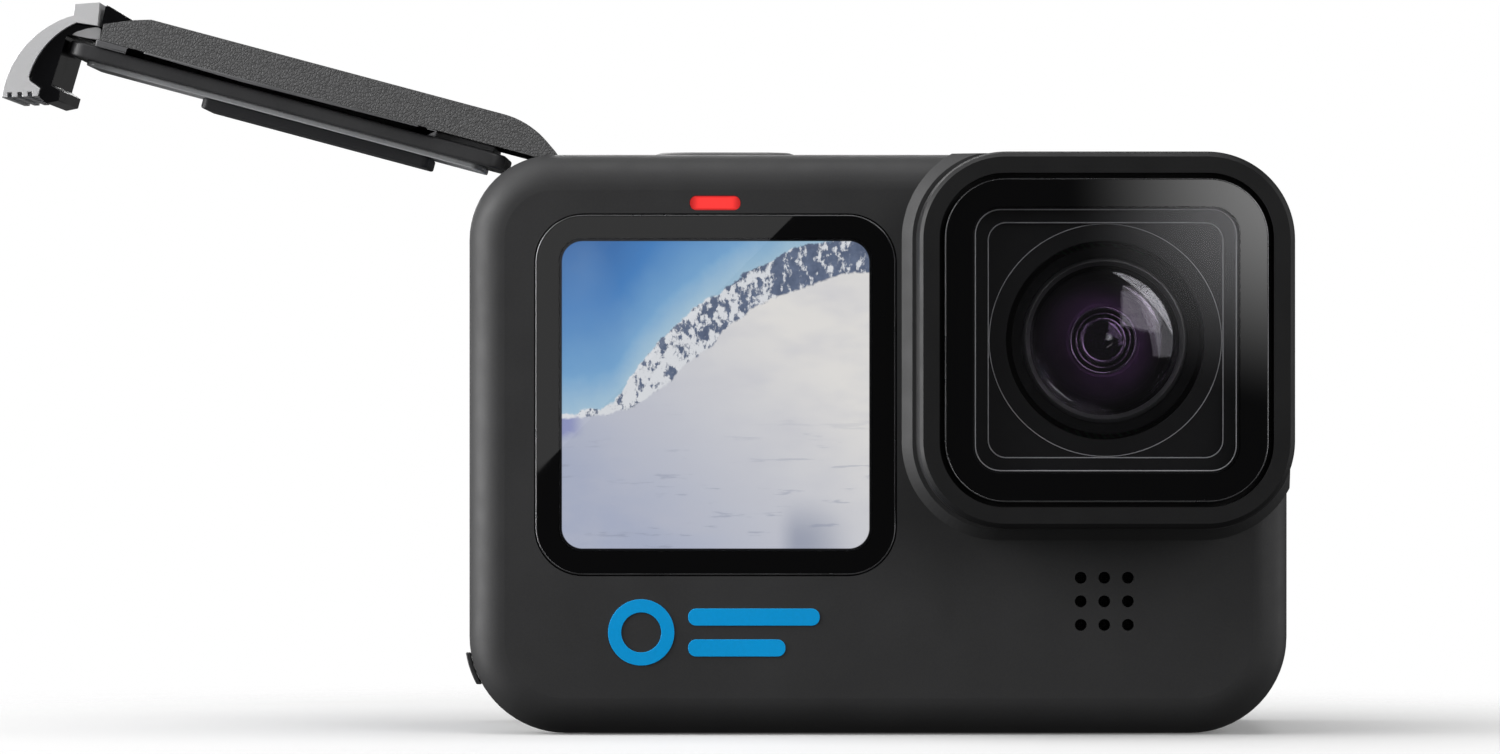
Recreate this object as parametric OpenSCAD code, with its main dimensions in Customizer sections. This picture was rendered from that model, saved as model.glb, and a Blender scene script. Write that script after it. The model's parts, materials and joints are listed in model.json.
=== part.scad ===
// Action camera with a hinged side door, a twist-off lens cover, a sliding battery and card,
// two push buttons and a pair of folding mounting fingers.
// Millimetres. +X is the camera's right seen from the front, +Z is up and the lens faces -Y.
// The origin is the centre of the underside. The door is drawn open, the fingers folded.

/* [Body] */
// Width of the body
body_w = 71.8; // [71.8:0.1:72.6]
// Height of the body
body_h = 50.8; // [50.8:0.1:51.4]
// Depth of the body without the lens cover
body_d = 25.2; // [25.2:0.1:25.6]
// Radius of the two top corners
top_r = 7.5; // [7.2:0.1:7.8]
// Radius of the two bottom corners
bottom_r = 8.5; // [8.2:0.1:8.8]
// Radius of the rounded front edge
front_edge_r = 3.2; // [2.6:0.1:3.2]
// Radius of the rounded rear edge
rear_edge_r = 2.2; // [1.8:0.1:2.2]
// Thickness of the casing walls
wall = 1.8; // [1.6:0.1:1.8]

/* [Front screen] */
// Side of the square front glass
screen_w = 31.47; // [31:0.01:31.6]
// Centre of the front glass, left to right
screen_x = -14.26; // [-14.4:0.01:-14.2]
// Centre of the front glass, height
screen_z = 29.72; // [29.5:0.01:29.8]

/* [Lens] */
// Lens axis, left to right
lens_x = 19.46; // [19.3:0.01:19.5]
// Lens axis, height
lens_z = 34.46; // [34.3:0.01:34.5]
// Side of the square lens cover
cover_w = 32.5; // [32:0.1:32.6]
// Distance from the camera's middle plane to the front of the lens cover
cover_front = 21; // [20.8:0.1:21.2]

/* [Door] */
// Angle of the open door from closed
door_open = 105; // [100:1:105]
// Door hinge axis, left to right
hinge_x = -30.14; // [-30.2:0.01:-30.1]
// Door hinge axis, height
hinge_z = 47.7; // [47.65:0.01:47.75]
// Radius of the hinge pin
pin_r = 0.75; // [0.7:0.01:0.75]

/* [Battery and card] */
// Length of the battery
battery_l = 39.2; // [38:0.1:39.2]
// Height of the battery
battery_h = 30.6; // [30:0.1:30.6]
// Thickness of the battery
battery_t = 12.4; // [12:0.1:12.4]
// Width of the memory card
card_w = 11; // [10.9:0.05:11]
// Length of the memory card
card_l = 15; // [14.8:0.05:15]

/* [Folding fingers] */
// Width of each mounting finger
finger_w = 15; // [14.6:0.1:15]
// Thickness of each mounting finger and of the slot between them
finger_t = 3; // [2.9:0.05:3]
// Distance from a finger's pivot to its screw hole
finger_reach = 12; // [11.5:0.1:12]
// Radius of the screw hole in a finger
finger_hole_r = 2.5; // [2.5:0.05:2.6]

/* [Hidden] */
$fn = 96;

half_w = body_w / 2;
half_d = body_d / 2;
// Middle of the door and the battery, front to back
door_mid_y = -0.4;
// The opening in the left side that the door fills, front to back
zone_y0 = -9.2;
zone_y1 = 8.4;
door_gap = 0.2;
door_y0 = zone_y0 + door_gap;
door_y1 = zone_y1 - door_gap;
// Free radius around the hinge axis
bay_r = 3.75;
bay_wall = 0.8;
// Seam between the two casing shells
seam_y = 10;
seam_gap = 0.2;
// Planes across the door opening: outer seat for the seal, floor and back
seat_x = -31;
floor_x = -30.3;
frame_back_x = -29.6;
// The mouth inside the door seal
mouth_z0 = 6.1;
mouth_z1 = 42.9;
mouth_half = 6.8;
// Pocket under the mouth that takes the latch claw
pocket_x = -25.5;
pocket_z = 5.6;
// Battery bay
battery_x0 = -29;
battery_x1 = battery_x0 + battery_l;
battery_z0 = 10.45;
battery_z1 = battery_z0 + battery_h;
battery_play = 0.15;
tray_wall = 0.6;
tray_x1 = battery_x1 + 0.2;
// Memory card
card_x0 = -30.3;
card_z0 = 42;
card_t = 0.75;
// Port centre
usb_z = 7.93;
// Ends of the hinge pin
pin_y0 = -10.4;
pin_y1 = 9.6;
// Layers of the door, from the shell inwards
carrier_x0 = -33;
carrier_x1 = -32.4;
plateau_x = -31.1;
plate_x = -30.6;
pad_x = -29.6;
// Battery contacts
contact_y = -2.6;
contact_z = 18;
contact_pitch = 1.8;
// Circuit board and what is stacked on it
board_y = 6.8;
board_t = 0.8;
boss_places = [[31, 7], [31, 44.5], [-12, 7], [-22, 46.4]];
// Lens cover bayonet, radii and depths in front of the middle plane
lug_angle = 45;
boss_in_r = 9;
boss_out_r = 10.2;
lip_r = 10.4;
groove_r = 11.25;
lug_r = 11.05;
// Curvature of the lens surfaces
front_r = 14;
inner_r = 4;
front_pole = 18.6;
inner_pole = 15.6;
// Opening in the collar and the baffle, and the barrel inside it
bore_r = 8.6;
barrel_r = 8.1;
// Boards and holder behind the lens, half their width
sensor_half = 7.8;
// Lens cover: glass seat, glass and the window behind it
seat_w = 28.8;
glass_w = 27.9;
window_w = 23.6;
glass_back = 1.7;
// Rear screen and its light
rear_screen_z = 25.6;
rear_light_x = 31;
rear_light_z = 43.6;
// Hole over a microphone
mic_hole_r = 0.4;
// Speaker grille
grille_x = 19.71;
grille_z = 11.68;
grille_pitch = 2.06;
// Status light
light_x = -14.3;
light_z = 46.5;
// Shutter button
shutter_x = -13.5;
// Mode button
mode_y = 3;
mode_z = 27;
// Inner and outer curve of the latch lever
lever_out_r = 8.72;
lever_in_r = 7.5;
lever_in_x = -28.06;
lever_in_z = 9.57;
// Folding fingers
pivot_x = 3.05;
pivot_z = 1.6;
finger_pin_r = 0.6;
finger_pin_y = 8.9;
recess_x = 22.7;
recess_y = 7.7;
recess_z = 3.3;

// ---------- shared shapes ----------

module round_rect(w, h, r) {
    square([w - 2 * r, h], center = true);
    square([w, h - 2 * r], center = true);
    for (sx = [-1, 1], sy = [-1, 1])
        translate([sx * (w / 2 - r), sy * (h / 2 - r)])
            circle(r);
}

module ring_rect(w, h, r, rim) {
    difference() {
        round_rect(w, h, r);
        round_rect(w - 2 * rim, h - 2 * rim, max(r - rim, 0.3));
    }
}

// Extrudes a front-view outline (X, Z) from y0 back to y1
module from_front(y0, y1) {
    translate([0, y1, 0])
        rotate([90, 0, 0])
            linear_extrude(y1 - y0)
                children();
}

// Extrudes a side-view outline (Y, Z) from x0 to x1
module from_side(x0, x1) {
    translate([x0, 0, 0])
        rotate([90, 0, 90])
            linear_extrude(x1 - x0)
                children();
}

// A block given by its lowest and highest corners
module block(low, high) {
    translate(low)
        cube(high - low);
}

// A rod along Y
module rod_y(r, y0, y1, x, z) {
    translate([x, y1, z])
        rotate([90, 0, 0])
            cylinder(r = r, h = y1 - y0);
}

// Turns an outline (radius, distance in front of the middle plane) about the lens axis
module lens_turned() {
    translate([lens_x, 0, lens_z])
        rotate([90, 0, 0])
            rotate_extrude()
                children();
}

// A square block on the lens axis, with rounded corners
module lens_block(w, r, y0, y1) {
    from_front(y0, y1)
        translate([lens_x, lens_z])
            round_rect(w, w, r);
}

// Places a part that is drawn closed at the open door's angle
module on_open_door() {
    translate([hinge_x, 0, hinge_z])
        rotate([0, door_open, 0])
            translate([-hinge_x, 0, -hinge_z])
                children();
}

// ---------- casing ----------

// Front-view outline of the casing, moved inwards by inset
module outline(inset = 0) {
    rt = top_r - inset;
    rb = bottom_r - inset;
    x1 = half_w - inset;
    z1 = body_h - inset;
    translate([-half_w + bottom_r, inset])
        square([body_w - 2 * bottom_r, body_h - 2 * inset]);
    translate([-x1, bottom_r])
        square([2 * x1, body_h - bottom_r - top_r]);
    translate([-half_w + top_r, body_h / 2])
        square([body_w - 2 * top_r, z1 - body_h / 2]);
    for (s = [-1, 1]) {
        translate([s * (half_w - top_r), body_h - top_r])
            circle(rt);
        translate([s * (half_w - bottom_r), bottom_r])
            circle(rb);
    }
}

// Half section of the casing: distance out from a corner's centre, distance forwards
module edge_section(r) {
    translate([0, -half_d + rear_edge_r])
        square([r, body_d - rear_edge_r - front_edge_r]);
    translate([0, -half_d])
        square([r - rear_edge_r, half_d]);
    square([r - front_edge_r, half_d]);
    translate([r - front_edge_r, half_d - front_edge_r])
        circle(front_edge_r);
    translate([r - rear_edge_r, -half_d + rear_edge_r])
        circle(rear_edge_r);
}

// One corner of the casing and the straight side that runs on from it
module casing_side(x, z, turn, r, length) {
    translate([x, z, 0])
        rotate([0, 0, turn]) {
            rotate_extrude(angle = 90)
                edge_section(r);
            rotate([90, 0, 0])
                linear_extrude(length)
                    edge_section(r);
        }
}

// The whole casing as a solid block with rounded edges
module casing_block() {
    tx = half_w - top_r;
    tz = body_h - top_r;
    bx = half_w - bottom_r;
    rotate([90, 0, 0]) {
        casing_side(tx, tz, 0, top_r, tz - bottom_r);
        casing_side(-tx, tz, 90, top_r, 2 * tx);
        casing_side(-bx, bottom_r, 180, bottom_r, tz - bottom_r);
        casing_side(bx, bottom_r, 270, bottom_r, 2 * bx);
        translate([-bx, bottom_r, -half_d])
            cube([bx + tx, tz - bottom_r, body_d]);
    }
}

// Front-view area swept by the door, its hinge and its latch
module door_area() {
    translate([-half_w - 2, 4.9])
        square([half_w + 2 + seat_x, body_h]);
    translate([-half_w - 2, -1])
        square([half_w + 2 + pocket_x, 1 + pocket_z]);
    translate([-half_w - 2, hinge_z])
        square([half_w + 2 + hinge_x + 2.11, 10]);
    translate([hinge_x, hinge_z])
        circle(bay_r);
}

module front_shell() {
    color("#333335")
        difference() {
            union() {
                difference() {
                    casing_block();
                    block([-50, seam_y - seam_gap / 2, -1], [50, 20, 60]);
                    from_front(-half_d + wall, 20)
                        outline(wall);
                }
                // plinth that the lens cover stands on
                intersection() {
                    union() {
                        lens_block(33, 7.7, -13.6, -9);
                        hull() {
                            lens_block(34.9, 8.6, -12.6, -12.5);
                            lens_block(33.9, 8.1, -13.1, -12.6);
                            lens_block(33.1, 7.7, -13.5, -12.6);
                        }
                    }
                    from_front(-20, -8)
                        outline();
                }
                // ears that hold the hinge pin
                intersection() {
                    union() {
                        rod_y(2.4, -11, zone_y0 - 0.1, hinge_x, hinge_z);
                        rod_y(2.4, zone_y1 + 0.1, seam_y - 0.1, hinge_x, hinge_z);
                    }
                    from_front(-20, 20)
                        outline(0.5);
                }
                // wall that closes the hinge bay off from the inside
                intersection() {
                    rod_y(bay_r + bay_wall, -10.2, seam_y - 0.1, hinge_x, hinge_z);
                    from_front(-20, 20)
                        outline(0.5);
                    block([seat_x, -20, 40], [0, 20, 60]);
                }
                // walls of the latch pocket
                block([frame_back_x, -11, pocket_z], [pocket_x, seam_y - 0.1, pocket_z + 0.5]);
                block([pocket_x, -11, 1], [pocket_x + 0.8, seam_y - 0.1, pocket_z + 0.5]);
                for (p = boss_places)
                    rod_y(1.6, -11, board_y, p.x, p.y);
            }
            // opening for the door
            from_front(zone_y0, zone_y1)
                door_area();
            rod_y(pin_r, pin_y0, pin_y1, hinge_x, hinge_z);
            // front glass, its display and its light
            from_front(-20, -half_d + 1)
                translate([screen_x, screen_z])
                    round_rect(screen_w + 0.24, screen_w + 0.24, 4.3);
            from_front(-20, 0)
                translate([screen_x, screen_z])
                    round_rect(28.6, 28.6, 2.2);
            from_front(-20, -9)
                translate([light_x, light_z])
                    round_rect(4.48, 1.28, 0.62);
            // lens collar
            rod_y(13.5, -20, -half_d, lens_x, lens_z);
            rod_y(12, -20, -9, lens_x, lens_z);
            for (i = [-1:1], j = [-1:1])
                rod_y(0.52, -20, -10, grille_x + i * grille_pitch, grille_z + j * grille_pitch);
            // top: shutter button and microphone
            translate([shutter_x, 0, 45])
                linear_extrude(10)
                    round_rect(13.6, 7.8, 3.7);
            translate([4, 2, 45])
                cylinder(r = mic_hole_r, h = 10);
            // right side: mode button and microphone
            from_side(30, 40)
                translate([mode_y, mode_z])
                    round_rect(4.4, 10.4, 2.1);
            translate([30, -4, 12])
                rotate([0, 90, 0])
                    cylinder(r = mic_hole_r, h = 10);
            // underside: finger bracket
            block([-23.6, -9.4, -1], [23.6, 9.4, wall + 1]);
            for (p = boss_places)
                rod_y(0.85, board_y - 5, 20, p.x, p.y);
        }
}

module rear_shell() {
    color("#2f2f31")
        difference() {
            intersection() {
                casing_block();
                block([-50, seam_y + seam_gap / 2, -1], [50, 20, 60]);
            }
            from_front(0, half_d - 1.6)
                outline(wall);
            from_front(half_d - 1, 20)
                translate([0, rear_screen_z])
                    round_rect(57.84, 38.24, 3.1);
            from_front(0, 20)
                translate([0, rear_screen_z])
                    round_rect(52, 32.6, 1.5);
            rod_y(0.75, 0, 20, rear_light_x, rear_light_z);
        }
}

module shell_gasket() {
    color("#1b1b1c")
        from_front(seam_y - seam_gap / 2, seam_y + seam_gap / 2)
            difference() {
                outline(0.45);
                outline(1.5);
            }
}

module side_frame() {
    color("#232325")
        difference() {
            block([seat_x, -10.7, 4.9], [frame_back_x, 9.2, 44]);
            // mouth that the door's plateau fills
            block([-40, door_mid_y - mouth_half, mouth_z0],
                  [floor_x, door_mid_y + mouth_half, mouth_z1]);
            rod_y(bay_r + bay_wall + 0.05, -20, 20, hinge_x, hinge_z);
            // battery, card and port openings in the floor
            block([-40, door_mid_y - 6.45, battery_z0 - 0.25],
                  [-20, door_mid_y + 6.45, battery_z1 + 0.25]);
            block([-40, door_mid_y - 5.7, card_z0 - 0.2], [-20, door_mid_y + 5.7, mouth_z1 - 0.05]);
            from_side(-40, -20)
                translate([door_mid_y, usb_z])
                    round_rect(9.2, 3.46, 1.7);
        }
}

module battery_tray() {
    y0 = door_mid_y - battery_t / 2 - battery_play;
    y1 = door_mid_y + battery_t / 2 + battery_play;
    z0 = battery_z0 - battery_play;
    z1 = battery_z1 + battery_play;
    color("#3a3a3d")
        difference() {
            block([frame_back_x, y0 - tray_wall, z0 - tray_wall],
                  [tray_x1 + tray_wall, y1 + tray_wall, z1 + tray_wall]);
            block([-40, y0, z0], [tray_x1, y1, z1]);
            for (i = [0:3])
                translate([0, contact_y + contact_pitch * i, contact_z])
                    rotate([0, 90, 0])
                        cylinder(r = 0.5, h = 20);
        }
}

module latch_keeper() {
    color("#9a9ca0")
        block([frame_back_x, zone_y0 + 0.4, 4.6], [-28.4, zone_y1 - 0.4, pocket_z]);
}

module latch_guard() {
    color("#1c1c1e")
        from_front(zone_y0 - 0.8, zone_y0 - 0.1)
            translate([-half_w + bottom_r, bottom_r])
                difference() {
                    circle(bottom_r + 0.42);
                    circle(bottom_r);
                    translate([-20, -1.4])
                        square([40, 20]);
                    translate([-20, -24.2])
                        square([40, 20]);
                    translate([0, -20])
                        square([20, 40]);
                }
}

module hinge_pin() {
    color("#b8babd")
        rod_y(pin_r, pin_y0, pin_y1, hinge_x, hinge_z);
}

// ---------- screens and lights ----------

module front_glass() {
    color([0.05, 0.05, 0.06, 0.6])
        from_front(-half_d, -half_d + 1)
            translate([screen_x, screen_z])
                round_rect(screen_w, screen_w, 4.18);
}

module front_display() {
    color("#5aa0d0")
        from_front(-half_d + 1, -half_d + 2.8)
            translate([screen_x, screen_z])
                round_rect(28.2, 28.2, 2);
}

module front_display_gasket() {
    color("#161617")
        from_front(-half_d + wall, -half_d + wall + 0.5)
            translate([screen_x, screen_z])
                ring_rect(29.8, 29.8, 2.8, 0.7);
}

module front_status_light() {
    color("#ff3b3b")
        from_front(-half_d + 0.05, -9)
            translate([light_x, light_z])
                round_rect(4.4, 1.2, 0.58);
}

module rear_glass() {
    color([0.05, 0.05, 0.06, 0.6])
        from_front(half_d - 1, half_d)
            translate([0, rear_screen_z])
                round_rect(57.6, 38, 3);
}

module rear_display() {
    color("#2a3a48")
        from_front(half_d - 3, half_d - 1)
            translate([0, rear_screen_z])
                round_rect(51.6, 32.2, 1.3);
}

module rear_status_light() {
    color("#ff3b3b")
        rod_y(0.7, 10.6, half_d, rear_light_x, rear_light_z);
}

// ---------- lens ----------

module lens_collar() {
    color("#2c2c2e")
        difference() {
            lens_turned()
                polygon([
                    [bore_r, 10], [11.9, 10], [11.9, 12.6], [13.3, 12.6], [13.3, 13.5],
                    [lip_r, 13.5], [lip_r, 12.15], [groove_r, 12.15], [groove_r, 11],
                    [bore_r, 11]
                ]);
            // entries for the cover's lugs
            for (i = [0:2])
                translate([lens_x, 0, lens_z])
                    rotate([0, lug_angle + 120 * i, 0])
                        block([lip_r - 1, -14, -2.2], [groove_r, -11.5, 2.2]);
            // groove for the O-ring
            lens_turned()
                translate([9.1, 10.6])
                    square([0.8, 1]);
        }
}

module lens_seal() {
    color("#141415")
        lens_turned()
            translate([9.5, 11])
                circle(0.36);
}

module lens_barrel() {
    color("#0c0c0d")
        lens_turned()
            polygon([
                [barrel_r, -2.5], [barrel_r, 18.3], [7.2, 18.1], [7.2, 17], [6.7, 17], [6.7, 15.5],
                [6.2, 15.5], [6.2, 12.9], [3.2, 15.1], [2.8, 15.1], [2.8, 9.4], [5.6, 9.4],
                [5.6, -2.5]
            ]);
}

module lens_ring() {
    color("#2d2d2f")
        lens_turned()
            polygon([[7.15, 17], [7.15, 17.8], [6.85, 17.95], [6.5, 17.5], [6.5, 17]]);
}

module front_lens_element() {
    color([0.2, 0.12, 0.28, 0.5])
        lens_turned()
            intersection() {
                difference() {
                    translate([0, front_pole - front_r])
                        circle(front_r);
                    translate([0, front_pole - front_r])
                        circle(front_r - 1.2);
                }
                translate([0, 15])
                    square([6.65, 5]);
            }
}

module inner_lens_elements() {
    color([0.15, 0.1, 0.22, 0.5]) {
        lens_turned()
            intersection() {
                translate([0, inner_pole - inner_r])
                    circle(inner_r);
                translate([0, 9.6])
                    square([2.75, 8]);
            }
        lens_turned()
            translate([0, 6])
                square([5.5, 2]);
        lens_turned()
            square([5.5, 2.6]);
    }
}

module sensor_holder() {
    color("#2a2a2c")
        difference() {
            block([lens_x - sensor_half, 2.5, lens_z - sensor_half],
                  [lens_x + sensor_half, 5, lens_z + sensor_half]);
            block([lens_x - 4.2, 2, lens_z - 3.4], [lens_x + 4.2, 6, lens_z + 3.4]);
        }
}

module image_sensor() {
    color("#4a6a58")
        block([lens_x - 4, 3.6, lens_z - 3.2], [lens_x + 4, 5, lens_z + 3.2]);
}

module sensor_board() {
    color("#1d5a34")
        block([lens_x - sensor_half, 5, lens_z - sensor_half],
              [lens_x + sensor_half, 5.8, lens_z + sensor_half]);
}

// ---------- electronics ----------

module main_board() {
    color("#17502c")
        from_front(board_y, board_y + board_t)
            difference() {
                intersection() {
                    outline(wall + 0.3);
                    translate([-25, 4.9])
                        square([58.5, 43.6]);
                }
                for (p = boss_places)
                    translate([p.x, p.y])
                        circle(0.9);
            }
}

module board_chips() {
    y0 = board_y + board_t;
    color("#202124") {
        block([-2, y0, 26], [11, y0 + 1, 39]);
        block([-17, y0, 27], [-6, y0 + 0.9, 38]);
        block([14, y0, 12], [22, y0 + 0.8, 20]);
        block([-16, y0, 13], [-8, y0 + 0.8, 19]);
        block([0, y0, 12], [6, y0 + 0.8, 18]);
        block([24, y0, 24], [29, y0 + 0.8, 31]);
    }
}

module heat_spreader() {
    color("#a9abae")
        from_front(8.8, 9.3)
            difference() {
                translate([0, rear_screen_z])
                    round_rect(50, 32, 2);
                for (x = [-20, 20])
                    translate([x, 25.6])
                        circle(2);
            }
}

module board_screws() {
    y0 = board_y + board_t;
    color("#8c8e92")
        for (p = boss_places)
            difference() {
                union() {
                    rod_y(1.5, y0, y0 + 0.9, p.x, p.y);
                    rod_y(0.8, board_y - 4, y0, p.x, p.y);
                }
                translate([p.x, y0 + 1.1, p.y])
                    rotate([90, 0, 0])
                        cylinder(r = 0.6, h = 0.7, $fn = 6);
            }
}

module display_flex() {
    color("#b07a30")
        from_side(-9, -3)
            polygon([
                [-9.8, 42], [-9.6, 42], [-9.6, 43.6], [board_y, 43.6], [board_y, 43.8],
                [-9.8, 43.8]
            ]);
}

module gps_antenna() {
    color("#cfcabd")
        block([0.5, -6, 44.6], [10.5, 0, 48.4]);
}

module usb_port() {
    color("#b4b6ba") {
        from_side(floor_x + 0.1, -23)
            translate([door_mid_y, usb_z])
                ring_rect(8.94, 3.26, 1.6, 0.3);
        from_side(-23.6, -23)
            translate([door_mid_y, usb_z])
                round_rect(8.5, 2.8, 1.3);
        block([-29.4, door_mid_y - 3.3, usb_z - 0.35], [-23.5, door_mid_y + 3.3, usb_z + 0.35]);
    }
}

module card_socket() {
    color("#a4a6aa")
        difference() {
            block([-29.5, door_mid_y - 6.4, 41.85], [-14.2, door_mid_y + 6.4, 43]);
            block([-40, door_mid_y - card_w / 2 - 0.1, card_z0 - 0.05],
                  [card_x0 + card_l + 0.2, door_mid_y + card_w / 2 + 0.1, card_z0 + card_t + 0.05]);
            block([-24, door_mid_y - 3.5, 42.4], [-18, door_mid_y + 3.5, 44]);
        }
}

module battery_contacts() {
    color("#c8a24a") {
        block([tray_x1 + tray_wall, -3.8, 16.6], [tray_x1 + 3.4, 4.2, 19.4]);
        for (i = [0:3])
            translate([battery_x1 + 0.05, contact_y + contact_pitch * i, contact_z])
                rotate([0, 90, 0])
                    cylinder(r = 0.4, h = tray_wall + 0.2);
    }
}

module speaker() {
    color("#2b2b2d") {
        difference() {
            rod_y(4.9, -10.3, -6.7, grille_x, grille_z);
            rod_y(4.3, -12, -9.6, grille_x, grille_z);
        }
        rod_y(2.6, -9.6, -9.2, grille_x, grille_z);
    }
}

module speaker_mesh() {
    color("#101011")
        rod_y(4.9, -half_d + wall, -half_d + wall + 0.3, grille_x, grille_z);
}

module microphones() {
    color("#c2b070") {
        block([2.5, 0.5, 47.9], [5.5, 3.5, 49]);
        block([33, -5.5, 10.5], [34.1, -2.5, 13.5]);
    }
}

// ---------- buttons ----------

module shutter_switch() {
    color("#8e9094") {
        block([shutter_x - 3, -3, 45.2], [shutter_x + 3, 3, 47.2]);
        translate([shutter_x, 0, 47.2])
            cylinder(r = 1.2, h = 0.5);
    }
}

module shutter_seal() {
    color("#19191a")
        translate([shutter_x, 0, 48.5])
            linear_extrude(0.5)
                difference() {
                    round_rect(15.4, 9.6, 4.6);
                    circle(1.6);
                }
}

module shutter_button() {
    color("#2b2b2d") {
        translate([shutter_x, 0, body_h])
            hull() {
                translate([0, 0, -0.9])
                    linear_extrude(0.9)
                        round_rect(13.3, 7.5, 3.6, $fn = 48);
                linear_extrude(0.3)
                    round_rect(12.5, 6.7, 3.2, $fn = 48);
                linear_extrude(0.45)
                    round_rect(11.6, 5.8, 2.8, $fn = 48);
            }
        translate([shutter_x, 0, 48.15])
            cylinder(r = 1.3, h = 2);
    }
}

module mode_switch() {
    color("#8e9094") {
        block([29.6, mode_y - 2, mode_z - 2.5], [31.6, mode_y + 2, mode_z + 2.5]);
        translate([31.6, mode_y, mode_z])
            rotate([0, 90, 0])
                cylinder(r = 1, h = 0.4);
    }
}

module mode_button() {
    color("#2b2b2d") {
        from_side(half_w - 1.5, half_w - 0.05)
            translate([mode_y, mode_z])
                round_rect(4, 10, 1.9);
        translate([32.5, mode_y, mode_z])
            rotate([0, 90, 0])
                cylinder(r = 1, h = 2.5);
    }
}

// ---------- folding fingers ----------

module finger_bracket() {
    color("#2a2a2c")
        difference() {
            union() {
                difference() {
                    block([-23.5, -9.3, 0.15], [23.5, 9.3, recess_z + 0.9]);
                    block([-recess_x, -recess_y, -1], [recess_x, recess_y, recess_z]);
                }
                block([-1.2, -recess_y, 0.4], [1.2, recess_y, recess_z]);
            }
            for (s = [-1, 1])
                rod_y(finger_pin_r, -finger_pin_y, finger_pin_y, s * pivot_x, pivot_z);
        }
}

module finger_pins() {
    color("#b8babd")
        for (s = [-1, 1])
            rod_y(finger_pin_r, -finger_pin_y, finger_pin_y, s * pivot_x, pivot_z);
}

// A finger on the side that side (-1 or 1) names, folded flat
module finger(side) {
    z0 = pivot_z - finger_t / 2;
    hole_x = side * (pivot_x + finger_reach);
    color("#2e2e30")
        difference() {
            union() {
                translate([0, 0, z0])
                    linear_extrude(finger_t) {
                        translate([side * (pivot_x + finger_reach / 2), 0])
                            square([finger_reach, finger_w], center = true);
                        translate([hole_x, 0])
                            circle(finger_w / 2);
                    }
                rod_y(finger_t / 2, -finger_w / 2, finger_w / 2, side * pivot_x, pivot_z);
            }
            rod_y(finger_pin_r + 0.05, -10, 10, side * pivot_x, pivot_z);
            translate([hole_x, 0, -1])
                cylinder(r = finger_hole_r, h = 6);
        }
}

module finger_left() {
    finger(-1);
}

module finger_right() {
    finger(1);
}

// ---------- badge ----------

module badge() {
    color("#0091dc")
        from_front(-half_d - 0.08, -half_d) {
            translate([-20.75, 8.96])
                difference() {
                    circle(2.9);
                    circle(1.75);
                }
            translate([-10.9, 10.3])
                round_rect(11.5, 1.5, 0.7);
            translate([-12.4, 7.6])
                round_rect(8.5, 1.5, 0.7);
        }
}

// ---------- door, drawn closed and turned open ----------

// Side of the textured shell that runs down to the seal
module door_flange_area() {
    intersection() {
        outline();
        polygon([
            [carrier_x0, 7.25], [-34.45, 7.25], [-35.42, 9.6], [-half_w, 11.2], [-40, 12],
            [-40, 60], [carrier_x0, 60]
        ]);
    }
}

// Skin of the textured shell, wrapped over the top corner to the hinge
module door_skin_area() {
    difference() {
        intersection() {
            outline();
            polygon([
                [carrier_x0, 7.25], [-34.45, 7.25], [-35.42, 9.6], [-half_w, 11.2], [-40, 12],
                [-40, 60], [-28.3, 60], [-28.3, 44], [carrier_x0, 44]
            ]);
        }
        outline(1.2);
    }
}

module door_shell() {
    skin_y = 1.2;
    on_open_door()
        color("#3c3d3f")
            difference() {
                union() {
                    from_front(door_y0, door_y1)
                        door_skin_area();
                    from_front(door_y0, door_y0 + skin_y)
                        door_flange_area();
                    from_front(door_y1 - skin_y, door_y1)
                        door_flange_area();
                    rod_y(1.75, door_y0, door_y1, hinge_x, hinge_z);
                }
                rod_y(pin_r + 0.05, -20, 20, hinge_x, hinge_z);
            }
}

module door_carrier() {
    on_open_door()
        color("#6f7174")
            difference() {
                union() {
                    // outer strip that shows beside the shell
                    block([carrier_x0, door_y0, 7], [carrier_x1, door_y1, 38]);
                    block([carrier_x0, door_y0 + 1.3, 38], [carrier_x1, door_y1 - 1.3, 43.2]);
                    // plateau inside the seal
                    block([carrier_x1, door_mid_y - 6.75, 6.15],
                          [plateau_x, door_mid_y + 6.75, 42.85]);
                    // ribs that reach into the shell
                    for (z = [19.5, 27, 34.5])
                        block([-34.6, door_y0 + 1.3, z], [carrier_x0, door_y1 - 1.3, z + 1.6]);
                }
                // notch and slot in the outer strip
                block([-34, door_y0 - 1, 9.9], [-32.45, door_y0 + 0.8, 11.3]);
                block([-34, door_y0 - 1, 36.3], [-32.45, door_y0 + 0.8, 37.1]);
            }
}

module door_seal() {
    on_open_door()
        color("#262728")
            from_side(carrier_x1, plateau_x)
                translate([door_mid_y, (4.7 + 44.4) / 2])
                    difference() {
                        round_rect(16.4, 39.7, 1.5);
                        round_rect(13.6, 36.8, 0.4);
                    }
}

module door_inner_plate() {
    on_open_door()
        color("#c9cbcd")
            from_side(plateau_x, plate_x)
                translate([door_mid_y, (6.4 + 42.6) / 2])
                    round_rect(13.2, 36.2, 1);
}

module door_pad() {
    on_open_door()
        color("#2a2b2d")
            from_side(plate_x, pad_x)
                translate([door_mid_y, (17.1 + 37.8) / 2])
                    round_rect(12, 20.7, 0.6);
}

// ---------- latch, on the door ----------

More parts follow.
